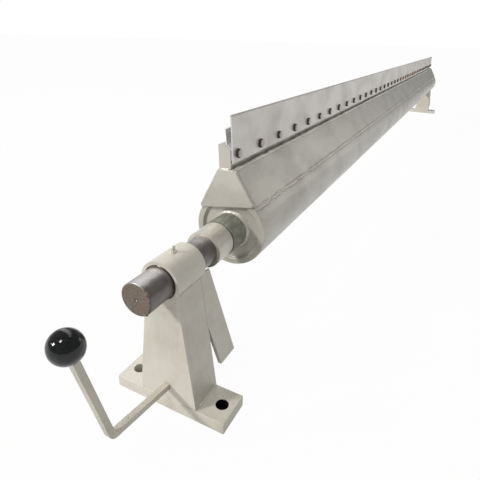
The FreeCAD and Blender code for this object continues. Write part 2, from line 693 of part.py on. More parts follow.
# ---------------------------------------------------------------- check and write
doc.recompute()
for item in doc.Objects:
    if "Invalid" in item.State or "Error" in item.State:
        raise RuntimeError(f"{item.Name} is {item.State}")
for node in nodes:
    if node.Shape.isNull() or not node.Shape.isValid():
        raise RuntimeError(node.Label + " has no valid shape")
os.makedirs("parts", exist_ok=True)
for node in nodes:
    node.Shape.exportStep(f"parts/{node.Label}.step")
    box = node.Shape.BoundBox
    print(f"{node.Label:24} {len(node.Shape.Solids):3} solids {node.Shape.Volume / 1000:10.1f} cm3"
          f"  x {box.XMin:.1f}..{box.XMax:.1f}  y {box.YMin:.1f}..{box.YMax:.1f}"
          f"  z {box.ZMin:.1f}..{box.ZMax:.1f}")
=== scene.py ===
# %% [markdown]
# # A doctor blade beam on two pedestals
# This machine part scrapes a turning roll clean. A heavy tube carries an A-shaped welded box, the box
# carries an upright bar, and a row of bolts clamps a long thin blade to the bar. Stub shafts at both
# ends of the tube turn in sleeves on two pedestals, and a bent hand lever stands in front of one of them.
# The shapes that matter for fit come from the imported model, so the first step loads it. It also reads
# which material slot and which moving body each node belongs to.

import json
import math

import bmesh
import bpy
from mathutils import Matrix, Vector, noise

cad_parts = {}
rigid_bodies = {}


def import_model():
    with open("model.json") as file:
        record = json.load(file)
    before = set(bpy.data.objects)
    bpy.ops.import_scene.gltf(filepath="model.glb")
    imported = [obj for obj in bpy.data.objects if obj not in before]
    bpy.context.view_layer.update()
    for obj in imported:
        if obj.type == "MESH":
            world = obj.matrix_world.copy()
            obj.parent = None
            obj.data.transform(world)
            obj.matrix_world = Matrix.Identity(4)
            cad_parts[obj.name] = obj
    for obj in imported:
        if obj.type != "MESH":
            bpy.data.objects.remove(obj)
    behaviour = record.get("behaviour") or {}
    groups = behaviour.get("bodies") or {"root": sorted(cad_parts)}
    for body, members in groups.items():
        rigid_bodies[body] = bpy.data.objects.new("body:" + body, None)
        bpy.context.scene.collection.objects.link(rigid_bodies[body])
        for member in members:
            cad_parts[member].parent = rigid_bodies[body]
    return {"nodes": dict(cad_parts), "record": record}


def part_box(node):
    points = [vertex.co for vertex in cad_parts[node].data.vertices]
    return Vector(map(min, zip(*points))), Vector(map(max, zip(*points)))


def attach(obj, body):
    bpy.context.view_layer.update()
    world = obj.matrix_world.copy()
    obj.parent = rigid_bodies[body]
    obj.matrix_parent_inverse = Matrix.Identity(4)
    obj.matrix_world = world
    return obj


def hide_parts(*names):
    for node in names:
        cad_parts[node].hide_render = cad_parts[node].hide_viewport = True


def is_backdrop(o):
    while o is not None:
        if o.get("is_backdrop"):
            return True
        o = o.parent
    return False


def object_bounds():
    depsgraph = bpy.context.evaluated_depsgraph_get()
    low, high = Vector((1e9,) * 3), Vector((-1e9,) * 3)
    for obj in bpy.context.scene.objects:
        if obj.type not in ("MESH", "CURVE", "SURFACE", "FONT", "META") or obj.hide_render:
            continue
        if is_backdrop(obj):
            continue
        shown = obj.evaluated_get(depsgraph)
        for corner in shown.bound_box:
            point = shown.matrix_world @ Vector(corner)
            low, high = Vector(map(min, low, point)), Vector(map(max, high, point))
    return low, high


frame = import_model()
record = frame["record"]
cad_low, cad_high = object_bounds()
mm = 0.001
slot_of = {part["node"]: part["material_slot"] for part in record["subparts"]}
body_of = {node: body for body, members in record["behaviour"]["bodies"].items() for node in members}
print("loaded", len(frame["nodes"]), "nodes; the object measures",
      [round(high - low, 3) for low, high in zip(cad_low, cad_high)], "m")

# %% [markdown]
# ## Where things are
# Every extra piece, such as a weld bead, has to start from a real edge of the model. Typing the places in
# again would break as soon as a plate changes, so one helper finds a corner of a node instead: the
# vertex that lies furthest in a chosen direction.

# %% Corners of the model
def corner(node, x, y, z):
    """The corner of a CAD node that lies furthest in the direction (x, y, z)."""
    aim = Vector((x, y, z))
    return max((vertex.co for vertex in frame["nodes"][node].data.vertices), key=aim.dot).copy()


def middle_of(node):
    low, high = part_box(node)
    return (low + high) / 2


def half_width(node):
    low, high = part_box(node)
    return (high.x - low.x) / 2


near_shaft_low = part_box("near_stub_shaft")[0]
far_shaft_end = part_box("far_stub_shaft")[1].y
AXIS_HEIGHT = middle_of("near_bearing_sleeve").z
TUBE_RADIUS = half_width("beam_tube")
SLEEVE_RADIUS = half_width("near_bearing_sleeve")
beam_up = (corner("blade", 3, -1, 20) - corner("blade", 3, -1, -20)).normalized()
beam_out = Vector((0, 1, 0)).cross(beam_up)
print("shaft axis at", round(AXIS_HEIGHT, 4), "m, tube radius", round(TUBE_RADIUS, 4), "m")
print("the blade leans back by", round(math.degrees(math.atan2(-beam_up.x, beam_up.z)), 2), "degrees")

# %% [markdown]
# ## Shader maths that reads like maths
# A material is a graph of nodes, and joining Math nodes by hand hides what they work out. A small class
# wraps one output socket and gives it the arithmetic signs, so 1 - dirt adds the node that does it.
# A second class holds one finish: its node method takes a node's type, its settings and its values.

# %% A wrapped socket
class Wire:
    """One value on its way through a finish. Signs such as + and * add the Math node they stand for."""

    def __init__(self, finish, socket):
        self.finish = finish
        self.socket = socket

    def maths(self, operation, first, second):
        return self.finish.node("ShaderNodeMath", {"operation": operation}, {0: first, 1: second})

    def __add__(self, other):
        return self.maths("ADD", self, other)

    def __sub__(self, other):
        return self.maths("SUBTRACT", self, other)

    def __rsub__(self, other):
        return self.maths("SUBTRACT", other, self)

    def __mul__(self, other):
        return self.maths("MULTIPLY", self, other)

    __radd__ = __add__
    __rmul__ = __mul__

    def most(self, other):
        return self.maths("MAXIMUM", self, other)


# %% [markdown]
# Every finish starts from the same few steps: a place on the surface, a noise of a chosen grain, a smooth
# step, a tint between two colours and a bump. Each of them is one method here.

# %% A finish under construction
class Finish:
    """A material or a world being built. Its methods add nodes and give back the wire that comes out."""

    def __init__(self, name, shelf=bpy.data.materials):
        self.material = shelf.new(name)
        self.material.use_nodes = True
        self.tree = self.material.node_tree
        self.tree.nodes.clear()

    def node(self, kind, settings=None, values=None, output=0):
        made = self.tree.nodes.new(kind)
        for name, setting in (settings or {}).items():
            setattr(made, name, setting)
        for name, value in (values or {}).items():
            if isinstance(value, Wire):
                self.tree.links.new(value.socket, made.inputs[name])
            else:
                made.inputs[name].default_value = value
        return Wire(self, made.outputs[output]) if made.outputs else made

    def place(self):
        return self.node("ShaderNodeTexCoord", output="Object")

    def axis(self, name):
        return self.node("ShaderNodeSeparateXYZ", values={0: self.place()}, output=name)

    def spread(self, x, y, z):
        """The place, counted in grains of these sizes in metres along X, Y and Z."""
        return self.node("ShaderNodeVectorMath", {"operation": "MULTIPLY"},
                         {0: self.place(), 1: (1 / x, 1 / y, 1 / z)})

    def grain(self, x, y, z, detail=3.0, warp=0.0):
        return self.node("ShaderNodeTexNoise", values={"Vector": self.spread(x, y, z), "Scale": 1.0,
                                                       "Detail": detail, "Distortion": warp})

    def near_upright(self, x, y, radius):
        """1 within this distance of an upright line through (x, y), 0 outside it."""
        flat = self.node("ShaderNodeVectorMath", {"operation": "MULTIPLY"}, {0: self.place(), 1: (1, 1, 0)})
        gap = self.node("ShaderNodeVectorMath", {"operation": "DISTANCE"}, {0: flat, 1: (x, y, 0)},
                        output="Value")
        return 1 - self.step(gap, radius, radius + 0.4 * mm)

    def step(self, wire, start, stop):
        """0 below start, 1 above stop and smooth between them."""
        return self.node("ShaderNodeMapRange", {"interpolation_type": "SMOOTHSTEP"},
                         {"Value": wire, "From Min": start, "From Max": stop})

    def tint(self, first, second, share):
        """The first colour where share is 0, the second where it is 1."""
        return self.node("ShaderNodeMix", {"data_type": "RGBA"}, {0: share, 6: first, 7: second}, output=2)

    def relief(self, height, depth, under=None):
        """A bump of this depth in metres, laid over another one."""
        values = {"Height": height, "Distance": depth, "Strength": 1.0}
        if under is not None:
            values["Normal"] = under
        return self.node("ShaderNodeBump", values=values)

    def surface(self, **sockets):
        """Closes the finish with a Principled shader; base_color stands for Base Color."""
        named = {name.replace("_", " ").title().replace("Ior", "IOR"): value
                 for name, value in sockets.items()}
        shader = self.node("ShaderNodeBsdfPrincipled", values=named)
        self.node("ShaderNodeOutputMaterial", values={"Surface": shader})
        return self.material


def colour(red, green, blue):
    return (red, green, blue, 1.0)


# %% [markdown]
# ## Enamel over welded plate
# The whole frame was painted by hand with one silver-beige enamel. Three things make such paint look
# real: slow changes of tone where the coat is thinner, brush marks that run one way, and painted shade
# that darkens the corners. A single function makes all the enamels, because only their tones and brush
# direction change.

# %% Enamels
HOLE_RADIUS = 12.6 * mm
HOLE_REACH = 99 * mm


def enamel(name, light, thin, dust_and_shade_tone, brush, metal=0.25, rough=0.42, shaded_holes=()):
    """Brushed enamel; brush is the size of one brush mark along X, Y and Z, in metres."""
    finish = Finish(name)
    clouds = finish.grain(0.09, 0.12, 0.07, detail=4.0)
    marks = finish.grain(*brush, detail=4.0, warp=0.6)
    specks = finish.grain(0.004, 0.004, 0.004, detail=2.0)
    corners = finish.node("ShaderNodeAmbientOcclusion", {"samples": 6}, {"Distance": 7 * mm}, output="AO")
    coat = finish.tint(light, thin, finish.step(clouds + (marks - 0.5) * 0.3, 0.4, 0.72) * 0.8)
    dust = finish.step(specks, 0.66, 0.78) * 0.25
    # Painted shade: the ambient occlusion mask darkens the colour in corners and between parts towards the
    # dark tone.
    shade = finish.step(1 - corners, 0.35, 0.95) * 0.35
    dusty_and_shaded = finish.tint(coat, dust_and_shade_tone, dust.most(shade))
    # Painted shade: inside the listed holding-down holes the enamel turns near black.
    for x, y in shaded_holes:
        dusty_and_shaded = finish.tint(dusty_and_shaded, colour(0.008, 0.007, 0.006), finish.near_upright(x, y, HOLE_RADIUS))
    peel = finish.relief(finish.grain(0.003, 0.003, 0.003, detail=3.0), 0.16 * mm)
    strokes = finish.relief(marks, 0.45 * mm, peel)
    return finish.surface(base_color=dusty_and_shaded, metallic=metal, normal=strokes,
                          roughness=rough + (clouds - 0.5) * 0.25 + dust * 0.3)


UPRIGHT = (6 * mm, 7 * mm, 40 * mm)
LENGTHWISE = (4 * mm, 16 * mm, 5 * mm)
finishes = {
    # The pedestal enamel gets painted shade in the right-hand holding-down hole of each base plate.
    "cast_paint": enamel("pedestal enamel", colour(0.62, 0.6, 0.54), colour(0.54, 0.51, 0.44),
                         colour(0.19, 0.16, 0.12), UPRIGHT, metal=0.15, shaded_holes=[
                             (HOLE_REACH, middle_of(f"{end}_base_plate").y) for end in ("near", "far")]),
    "beam_paint": enamel("beam enamel", colour(0.52, 0.505, 0.455), colour(0.42, 0.405, 0.36),
                         colour(0.14, 0.125, 0.1), LENGTHWISE, metal=0.3, rough=0.36),
    "collar_paint": enamel("collar enamel", colour(0.62, 0.6, 0.54), colour(0.5, 0.48, 0.42),
                           colour(0.15, 0.13, 0.1), (5 * mm, 40 * mm, 5 * mm), metal=0.45, rough=0.34),
    "lever_paint": enamel("lever enamel", colour(0.56, 0.53, 0.46), colour(0.46, 0.43, 0.36),
                          colour(0.14, 0.12, 0.09), (6 * mm, 6 * mm, 40 * mm), metal=0.2, rough=0.4),
}
print("enamels:", ", ".join(finishes))

# %% [markdown]
# ## Bare steel
# The shafts are turned and left bare, so they are the only true metal at eye level. Fine rings go round
# the shaft from the lathe tool, brown films of rust sit on it, and the sawn end face is grainy
# and almost fully rusted. The end face is found by its place along the shaft.

# %% Turned shaft steel
def hub_face(end, outward):
    """Where a stub shaft's thick painted hub starts, along Y."""
    wide = [v.co.y for v in frame["nodes"][f"{end}_stub_shaft"].data.vertices
            if math.hypot(v.co.x, v.co.z - AXIS_HEIGHT) > 36 * mm]
    return min(wide) if outward < 0 else max(wide)


def turned_steel(name, first_face, last_face):
    """Turned steel whose end faces at these places along Y have rusted, with dull paint on its hubs."""
    finish = Finish(name)
    along = finish.axis("Y")
    tool = finish.node("ShaderNodeTexWave", {"wave_type": "BANDS", "bands_direction": "Y"},
                       {"Vector": finish.place(), "Scale": 160.0, "Distortion": 1.5, "Detail": 2.0})
    film = finish.grain(0.035, 0.05, 0.035, detail=5.0, warp=0.8)
    pits = finish.grain(0.0016, 0.0016, 0.0016, detail=3.0)
    bloom = finish.grain(0.0028, 0.0028, 0.0028, detail=5.0)
    lip = 1.2 * mm
    near_face = finish.step(0 - along, -first_face - lip, -first_face)
    faces = near_face.most(finish.step(along, last_face - lip, last_face))
    stain = finish.step(film + (pits - 0.5) * 0.3, 0.5, 0.68) * 0.6
    steel = finish.tint(colour(0.4, 0.385, 0.38), colour(0.19, 0.15, 0.14), stain)
    # Painted shade: the side towards +X turns near black and less metallic, so the shaft's right flank looks
    # shaded.
    right_flank_shade = finish.step(finish.axis("X") + (film - 0.5) * 0.02, 4 * mm, 27 * mm) * 0.8
    steel = finish.tint(steel, colour(0.085, 0.07, 0.062), right_flank_shade)
    crust_and_hole_shade = finish.tint(colour(0.13, 0.1, 0.08), colour(0.19, 0.155, 0.13), finish.step(bloom, 0.38, 0.66))
    near_hub, far_hub = hub_face("near", -1), hub_face("far", 1)
    past_near_hub = finish.step(along, near_hub - 0.3 * mm, near_hub)
    hub = past_near_hub * (1 - finish.step(along, far_hub, far_hub + 0.3 * mm))
    wiped = finish.step(finish.grain(0.008, 0.02, 0.008, detail=4.0), 0.35, 0.7)
    paint = finish.tint(colour(0.2, 0.205, 0.17), colour(0.3, 0.305, 0.26), wiped)
    scratched = finish.relief(tool, 0.05 * mm)
    pitted = finish.relief(pits * (faces * 0.9 + 0.1), 0.5 * mm, scratched)
    round_place = finish.node("ShaderNodeVectorMath", {"operation": "MULTIPLY"},
                              {0: finish.place(), 1: (1, 0, 1)})
    off_centre = finish.node("ShaderNodeVectorMath", {"operation": "DISTANCE"},
                             {0: round_place, 1: (0, 0, AXIS_HEIGHT)}, output="Value")
    # Painted shade: the centre-drill hole in the end face turns near black, on top of the real rust crust.
    centre = 1 - finish.step(off_centre, 2.6 * mm, 3.6 * mm)
    crust_and_hole_shade = finish.tint(crust_and_hole_shade, colour(0.01, 0.008, 0.007), centre)
    bare = finish.tint(steel, crust_and_hole_shade, faces)
    return finish.surface(base_color=finish.tint(bare, paint, hub), normal=pitted,
                          metallic=(0.9 - faces * 0.75 - stain * 0.3 - right_flank_shade * 0.3 - hub * 0.7).most(0),
                          roughness=0.3 + stain * 0.35 + faces * 0.4 + hub * 0.12)


finishes["bare_steel"] = turned_steel("turned shaft steel", near_shaft_low.y, far_shaft_end)
print("shaft ends at", round(near_shaft_low.y, 4), "and", round(far_shaft_end, 4), "m")

# %% [markdown]
# ## Blade and strip
# The blade is rolled sheet that has lain in a shop: pale, with upright wipe marks, warm stains and a few
# rust runs that start at the bolts in its far half. The strip behind it is bright spring steel. Both use
# the same steps as the enamel, but with real metal under thin stains.

# %% Sheet metals
def rolled_sheet(name, pale, stained, rough, rust_from=None, ground_edge=None):
    """Sheet metal; ground_edge is the height of its ground upper edge, measured up the beam."""
    finish = Finish(name)
    wipes = finish.grain(0.02, 0.006, 0.05, detail=5.0, warp=0.3)
    patches = finish.grain(0.1, 0.12, 0.07, detail=5.0, warp=0.4)
    specks = finish.grain(0.003, 0.003, 0.003, detail=2.0)
    stain = finish.step(patches + (wipes - 0.5) * 0.25, 0.36, 0.76)
    sheet = finish.tint(pale, stained, stain)
    soot = finish.step(specks + (patches - 0.5) * 0.3, 0.66, 0.76) * 0.4
    sheet = finish.tint(sheet, colour(0.14, 0.11, 0.085), soot)
    rust = soot * 0.5
    if rust_from is not None:
        late = finish.step(finish.axis("Y"), rust_from, rust_from + 0.7)
        runs = finish.step(finish.grain(0.05, 0.035, 0.25, detail=4.0), 0.5, 0.7)
        rust = late * runs * 0.45
        sheet = finish.tint(sheet, colour(0.5, 0.27, 0.14), rust)
    if ground_edge is not None:
        height = finish.node("ShaderNodeVectorMath", {"operation": "DOT_PRODUCT"},
                             {0: finish.place(), 1: tuple(beam_up)}, output="Value")
        edge = finish.step(height, ground_edge - 4 * mm, ground_edge - 2 * mm) * 0.6
        sheet = finish.tint(sheet, colour(0.25, 0.235, 0.22), edge)
    brushed = finish.relief(wipes, 0.25 * mm, finish.relief(specks, 0.08 * mm))
    return finish.surface(base_color=sheet, metallic=0.55 - rust * 0.4, normal=brushed,
                          roughness=rough + stain * 0.14 + rust * 0.3)


RUST_START = 2.0
blade_top = max(vertex.co.dot(beam_up) for vertex in frame["nodes"]["blade"].data.vertices)
finishes["blade_steel"] = rolled_sheet("blade sheet", colour(0.66, 0.645, 0.615), colour(0.58, 0.545, 0.505),
                                       0.36, rust_from=RUST_START, ground_edge=blade_top)
finishes["spring_steel"] = rolled_sheet("bright strip", colour(0.9, 0.92, 0.96), colour(0.78, 0.79, 0.81),
                                        0.45)
print("rust runs start", RUST_START, "m along the blade")

# %% [markdown]
# ## Small metal parts
# Bolts, screws, the grease nipples, washer, nut and bushes are small, so a short recipe is enough: a
# base metal, a second tone in spots, and fine pits. The bolts turn from oily brown to orange rust along
# the blade, and the sides of their heads that don't face the blade's side get the dark tone as painted shade.

# %% Fasteners and bushes
def small_metal(name, clean, dull, metal, rough, rust_from=None, shaded_sides=False):
    """A small part's metal; with side shading on, faces that don't look towards the blade's side take the
    dull tone as painted shade.
    """
    finish = Finish(name)
    spots = finish.grain(0.004, 0.004, 0.004, detail=4.0, warp=0.5)
    wear_and_side_shade = finish.step(spots, 0.5, 0.7)
    if shaded_sides:
        normal = finish.node("ShaderNodeTexCoord", output="Normal")
        outward = finish.node("ShaderNodeSeparateXYZ", values={0: normal}, output="X")
        # Painted shade: faces that don't look along +X take the dull tone, so the sides of the bolt heads
        # look shaded.
        wear_and_side_shade = (wear_and_side_shade * 0.45).most(1 - finish.step(outward, 0.5, 0.9))
    shade = finish.tint(clean, dull, wear_and_side_shade)
    if rust_from is not None:
        late = finish.step(finish.axis("Y"), rust_from, rust_from + 0.5)
        gone = 1 - finish.step(finish.axis("Y"), rust_from + 1.0, rust_from + 1.5)
        shade = finish.tint(shade, colour(0.36, 0.13, 0.05), late * gone * (wear_and_side_shade * 0.5 + 0.4))
    pits = finish.relief(finish.grain(0.0012, 0.0012, 0.0012, detail=2.0), 0.1 * mm)
    return finish.surface(base_color=shade, metallic=metal, roughness=rough + wear_and_side_shade * 0.2, normal=pits)


finishes["black_steel"] = small_metal("oiled bolt steel", colour(0.5, 0.47, 0.42), colour(0.07, 0.052, 0.036),
                                      0.35, 0.34, rust_from=RUST_START, shaded_sides=True)
finishes["plated_steel"] = small_metal("plated steel", colour(0.6, 0.58, 0.53), colour(0.4, 0.37, 0.32),
                                       0.7, 0.3)
finishes["bronze"] = small_metal("bush bronze", colour(0.16, 0.11, 0.06), colour(0.07, 0.05, 0.03), 0.6, 0.4)

# %% [markdown]
# ## The ball knob's plastic
# Knobs like this are moulded in black phenolic plastic and polished. It needs almost no colour, only a
# clear gloss, so what shows is the room in its skin. Faint swirls from hands break the gloss up.

# %% Polished plastic
def polished_plastic(name):
    finish = Finish(name)
    swirls = finish.grain(0.006, 0.006, 0.006, detail=5.0, warp=2.0)
    handled = finish.step(swirls, 0.45, 0.7)
    shade = finish.tint(colour(0.004, 0.0045, 0.005), colour(0.012, 0.014, 0.014), handled)
    waves = finish.relief(finish.grain(0.009, 0.009, 0.009, detail=3.0), 0.9 * mm)
    return finish.surface(base_color=shade, roughness=0.08 + handled * 0.12, normal=waves,
                          specular_ior_level=0.25, coat_weight=0.35, coat_roughness=0.03)


finishes["knob_plastic"] = polished_plastic("polished phenolic")
for node, thing in frame["nodes"].items():
    thing.data.materials.clear()
    thing.data.materials.append(finishes[slot_of[node]])
print("finishes:", ", ".join(sorted(finishes)))

# %% [markdown]
# ## Plates with real edges
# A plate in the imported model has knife-sharp edges, and nothing catches the light there. Sawn and painted
# plate has an edge about a millimetre round. A copy of the node is cleaned of its triangles, every sharp
# edge is bevelled, and the copy stands in the node's place. Weighted normals then keep the flats flat.

# %% Edge rounding
def placed(name, mesh, material, smooth=False):
    """Turns an editable mesh into an object that wears a material."""
    data = bpy.data.meshes.new(name)
    mesh.to_mesh(data)
    mesh.free()
    data.polygons.foreach_set("use_smooth", [smooth] * len(data.polygons))
    data.materials.append(material)
    thing = bpy.data.objects.new(name, data)
    bpy.context.scene.collection.objects.link(thing)
    return thing


def show(name, mesh, body, slot, smooth=True):
    """Makes a piece that rides on a body and wears a slot's finish."""
    piece = placed(name, mesh, finishes[slot], smooth)
    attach(piece, body)
    return piece


def level_flats(piece):
    """Keeps flat faces flat next to rounded edges."""
    levelled = piece.modifiers.new("flat faces", "WEIGHTED_NORMAL")
    levelled.keep_sharp = True
    levelled.weight = 100


SHARP = math.radians(32)


def eased(node, edge):
    """Shows a copy of a node with its sharp edges rounded."""
    mesh = bmesh.new()
    mesh.from_mesh(frame["nodes"][node].data)
    bmesh.ops.remove_doubles(mesh, verts=mesh.verts, dist=0.01 * mm)
    bmesh.ops.dissolve_limit(mesh, angle_limit=math.radians(0.5), verts=mesh.verts, edges=mesh.edges)
    edges = [edge_line for edge_line in mesh.edges
             if len(edge_line.link_faces) == 2 and edge_line.calc_face_angle(0) > SHARP]
    bmesh.ops.bevel(mesh, geom=edges, offset=edge, segments=2, profile=0.6, affect="EDGES",
                    clamp_overlap=True)
    piece = show("eased_" + node, mesh, body_of[node], slot_of[node])
    level_flats(piece)
    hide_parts(node)
    return piece


EDGES = {"base_plate": 1.2, "front_plate": 0.8, "side_plate_left": 0.8, "side_plate_right": 0.8,
         "rear_brace_left": 0.8, "rear_brace_right": 0.8, "bearing_sleeve": 1.2, "thrust_collar": 1.0,
         "box_cover": 0.9}
for end in ("near", "far"):
    for part, edge in EDGES.items():
        eased(f"{end}_{part}", edge * mm)
eased("beam_tube", 2.5 * mm)
eased("box_side_left", 0.8 * mm)
eased("box_side_right", 0.8 * mm)
eased("lever_bar", 1.8 * mm)
for node in ("blade_bar", "backing_strip"):
    eased(node, 0.3 * mm)
rounded = [thing for thing in bpy.data.objects if thing.name.startswith("eased_")]
print("rounded the edges of", len(rounded), "pieces")

# %% [markdown]
# ## Weld beads
# The frame is welded by hand and then painted, so every joint shows a bead: a fat rounded line with a ripple
# for each step of the torch, places where the welder went slower, and an end that sinks away. A bead is an
# oval section swept along the joint. Its width and its path wander by smooth noise, which gives the same
# bead on every run because nothing is drawn at random.

# %% A swept bead
def evenly(points, step):
    """Points on a run of straight lines, about one step apart."""
    spots = [Vector(points[0])]
    for start, stop in zip(points, points[1:]):
        start, stop = Vector(start), Vector(stop)
        count = max(2, round((stop - start).length / step))
        spots += [start.lerp(stop, index / count) for index in range(1, count + 1)]
    return spots


def ring_about_shaft(radius, y, first=0.0, last=360.0, step=4.0):
    """Points on an arc about the shaft axis; angles run from +X up to +Z."""
    count = max(3, round((last - first) / step))
    turns = [math.radians(first + (last - first) * index / count) for index in range(count + 1)]
    return [Vector((radius * math.cos(turn), y, AXIS_HEIGHT + radius * math.sin(turn))) for turn in turns]


RIPPLE = 4.2 * mm
SECTION = 8
BEAD_STEP = 1.5 * mm


def bead(name, body, slot, spots, half_width, height, out, rough=0.3, wander=0.5 * mm, closed=False):
    """An oval bead along spots; out gives the direction that its crown faces at each of them."""
    mesh = bmesh.new()
    rings = []
    gone = 0.0
    last = len(spots) - 1
    for index, spot in enumerate(spots):
        before, after = spots[max(index - 1, 0)], spots[min(index + 1, last)]
        ahead = (after - before).normalized()
        crown = out(spot)
        crown = (crown - ahead * crown.dot(ahead)).normalized()
        side = ahead.cross(crown)
        if index:
            gone += (spot - spots[index - 1]).length
        slow = noise.noise(spot * 38.0) + 0.6 * noise.noise(spot * 110.0)
        swell = 1 + rough * slow + 0.12 * abs(math.sin(math.pi * gone / RIPPLE))
        end = 1.0 if closed else min(1.0, 0.15 + min(index, last - index) / 3)
        middle = spot + side * wander * noise.noise(spot * 60.0 + Vector((7, 3, 1)))
        ring = []
        for step in range(SECTION):
            turn = 2 * math.pi * step / SECTION
            across = side * math.cos(turn) * half_width * swell * end
            ring.append(mesh.verts.new(middle + across + crown * math.sin(turn) * height * swell * end))
        rings.append(ring)
    pairs = list(zip(rings, rings[1:])) + ([(rings[-1], rings[0])] if closed else [])
    for first, second in pairs:
        for step in range(SECTION):
            following = (step + 1) % SECTION
            mesh.faces.new((first[step], first[following], second[following], second[step]))
    if not closed:
        mesh.faces.new(rings[0])
        mesh.faces.new(list(reversed(rings[-1])))
    bmesh.ops.recalc_face_normals(mesh, faces=mesh.faces)
    return show(name, mesh, body, slot)


def facing(x, y, z):
    direction = Vector((x, y, z))
    return lambda spot: direction


def away_from_shaft(tilt):
    """Crowns that face outwards from the shaft axis, tilted along it."""
    return lambda spot: Vector((spot.x, 0, spot.z - AXIS_HEIGHT)).normalized() + Vector((0, tilt, 0))


# %% [markdown]
# The long seams are the ones that the eye follows. On each side one bead joins the box to the tube and one
# joins the box to the bar. Their start comes from the corner of the plate at the near end, and their far
# end from the same corner at the far end. The box side leans, so its face direction comes from two corners.

# %% Seams along the beam
tube_near, tube_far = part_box("beam_tube")
TUBE_START, TUBE_END = tube_near.y, tube_far.y


SEAM_STEP = 3 * mm


def lengthwise(start):
    """Spots from a corner at the near end to the same place at the far end."""
    first = Vector((start.x, TUBE_START, start.z))
    return evenly([first, Vector((start.x, TUBE_END, start.z))], SEAM_STEP)


def box_side_face(side):
    """The way that a box side looks; side is 1 for the blade's side and -1 for the other."""
    return (beam_out * side * 0.87 + beam_up * 0.49).normalized()


for hand, side in (("left", -1), ("right", 1)):
    foot = corner(f"box_side_{hand}", side, -1, 0)
    face = box_side_face(side)
    # The long seams wear the lighter collar enamel instead of the beam's: a painted highlight on the beads.
    bead(f"tube_seam_{hand}", "beam", "collar_paint", lengthwise(foot), 3.4 * mm, 3.4 * mm,
         facing(*(face + Vector((side, 0, 0.9)).normalized())), rough=0.9, wander=1.2 * mm)
    top = corner(f"box_side_{hand}", side * 0.1, -1, 1)
    bead(f"bar_seam_{hand}", "beam", "collar_paint", lengthwise(top), 3.4 * mm, 3.0 * mm,
         facing(*face), rough=0.8, wander=1.1 * mm)
print("four seams of", round(TUBE_END - TUBE_START, 2), "m")

# %% [markdown]
# At each end of the beam the box is closed by a cover, the bar's foot is welded to it in a few fat lumps,
# the shaft's hub is welded into the end disc, and the disc into the tube. Rings about the shaft are arcs
# of spots, and the lumps are a short bead with strong swelling.

# %% Welds at the beam's ends
COVER_WELD_DEPTH = 1.5 * mm

for end, face_y, outward in (("near", TUBE_START, -1), ("far", TUBE_END, 1)):
    cover = f"{end}_box_cover"
    for hand, side in (("left", -1), ("right", 1)):
        low = corner(cover, side, outward, -0.2 if side > 0 else 0)
        high = corner(cover, side * 0.9, outward, 1)
        low.y = high.y = face_y - outward * COVER_WELD_DEPTH
        bead(f"{end}_cover_seam_{hand}", "beam", "beam_paint", evenly([low, high], BEAD_STEP),
             6.5 * mm, 4.6 * mm, facing(*box_side_face(side)), rough=0.12, wander=0.5 * mm)
    left, right = corner("blade_bar", -1, outward, -3), corner("blade_bar", 1, outward, -0.5)
    bead(f"{end}_bar_foot_weld", "beam", "beam_paint", evenly([left, right], BEAD_STEP),
         3.4 * mm, 3.0 * mm, facing(0, outward, 1), rough=0.6, wander=0.8 * mm)
    disc_low, disc_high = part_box(f"{end}_end_disc")
    disc_face = disc_low.y if outward < 0 else disc_high.y
    hub_rim = ring_about_shaft(half_width(f"{end}_stub_shaft") + 2 * mm, disc_face, last=356)
    bead(f"{end}_hub_weld", "beam", "beam_paint", hub_rim,
         7.5 * mm, 3.4 * mm, away_from_shaft(outward), rough=0.2, closed=True)
    disc_rim = ring_about_shaft(disc_high.x, disc_face, last=357, step=3)
    bead(f"{end}_disc_weld", "beam", "beam_paint", disc_rim,
         3.0 * mm, 2.6 * mm, away_from_shaft(outward), rough=0.25, closed=True)
print("welded both ends of the beam")

# %% [markdown]
# Each pedestal has the same welds: side plates to the sleeve, side plates to the base plate, the front
# plate round the sleeve's underside, and a flat bead where a rear brace continues a side plate.

# %% Welds on the pedestals
SLEEVE_UNDERSIDE = (214, 326)

for end in ("near", "far"):
    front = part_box(f"{end}_front_plate")[0].y
    for hand, side in (("left", -1), ("right", 1)):
        plate = f"{end}_side_plate_{hand}"
        brace = f"{end}_rear_brace_{hand}"
        top_front, top_back = corner(plate, side * 0.1, -1, 5), corner(plate, side * 0.1, 1, 5)
        bead(f"{end}_sleeve_weld_{hand}", "pedestals", "cast_paint", evenly([top_front, top_back], BEAD_STEP),
             2.6 * mm, 1.8 * mm, facing(side, 0, 0.4), rough=0.35)
        foot_front, foot_back = corner(plate, side, -1, -1), corner(plate, side, 1, -1)
        bead(f"{end}_foot_weld_{hand}", "pedestals", "cast_paint", evenly([foot_front, foot_back], BEAD_STEP),
             3.4 * mm, 2.4 * mm, facing(side, 0, 1), rough=0.3)
        slit = corner(brace, side * 0.2, -6, -1)
        neck = corner(brace, side * 0.2, -6, 1)
        bead(f"{end}_brace_weld_{hand}", "pedestals", "cast_paint", evenly([slit, neck], 2 * mm),
             3.0 * mm, 0.6 * mm, facing(side, 0, 0.13), rough=0.3)
    underside = ring_about_shaft(SLEEVE_RADIUS + 0.6 * mm, front, *SLEEVE_UNDERSIDE, step=3)
    bead(f"{end}_collar_weld", "pedestals", "cast_paint", underside, 2.0 * mm, 0.8 * mm,
         facing(0, -1, 0), rough=0.3)
print("welded both pedestals")

# %% [markdown]
# ## Bolt heads
# A real hexagon head isn't a plain prism: its corners are turned off, so the top ends in a round face. That
# round face is what catches the light along the row. Each head is built from four rings of points, gets its
# own small turn, because nobody tightens 39 bolts to the same angle, and keeps the shank in the bar.

# %% The row of clamp bolts
HEAD = 6.4 * mm
FLATS = 17 * mm
SHANK_RADIUS = 5 * mm
SHANK_LENGTH = 30 * mm
TURN_STEP = 41


